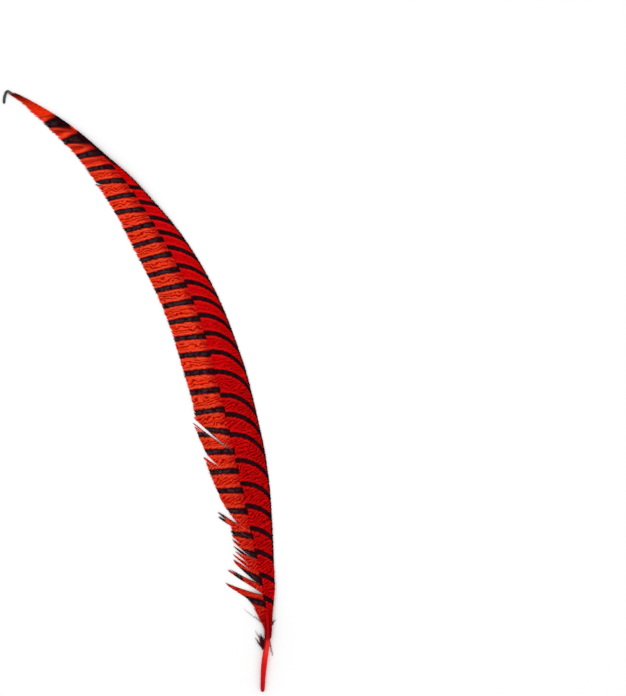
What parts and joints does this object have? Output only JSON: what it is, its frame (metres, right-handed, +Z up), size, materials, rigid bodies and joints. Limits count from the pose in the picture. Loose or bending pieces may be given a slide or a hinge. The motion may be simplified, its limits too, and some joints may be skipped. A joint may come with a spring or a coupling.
{
  "type": "pheasant tail feather",
  "caption": "Long curved tail feather with a bare quill, a narrow and a wide vane, loose locks of barbs at the base and a bent tip, dyed red with dark bars.",
  "frame": {"origin": "on the surface the feather lies on, under the middle of its box", "axes": "+Z up, out of the feather's upper side; +Y from the quill's end towards the tip; +X towards the side that the shaft bows to"},
  "size_m": [0.1786, 0.3941, 0.0045],
  "materials": {
    "quill": "smooth dyed horn, slightly clear",
    "vane": "dyed barbs, red with near-black bars and fine dark wavy lines",
    "down": "matt dark maroon down"
  },
  "bodies": {
    "root": {"shaft": "quill", "vane_right": "vane", "web_left_upper": "vane", "web_left_middle": "vane", "web_left_lower": "vane", "lock_upper": "vane", "lock_frayed": "vane", "lock_long": "vane", "web_left_base": "vane", "down_left": "down", "down_left_wisp": "down", "down_right": "down", "down_right_curl": "down"}
  },
  "joints": []
}
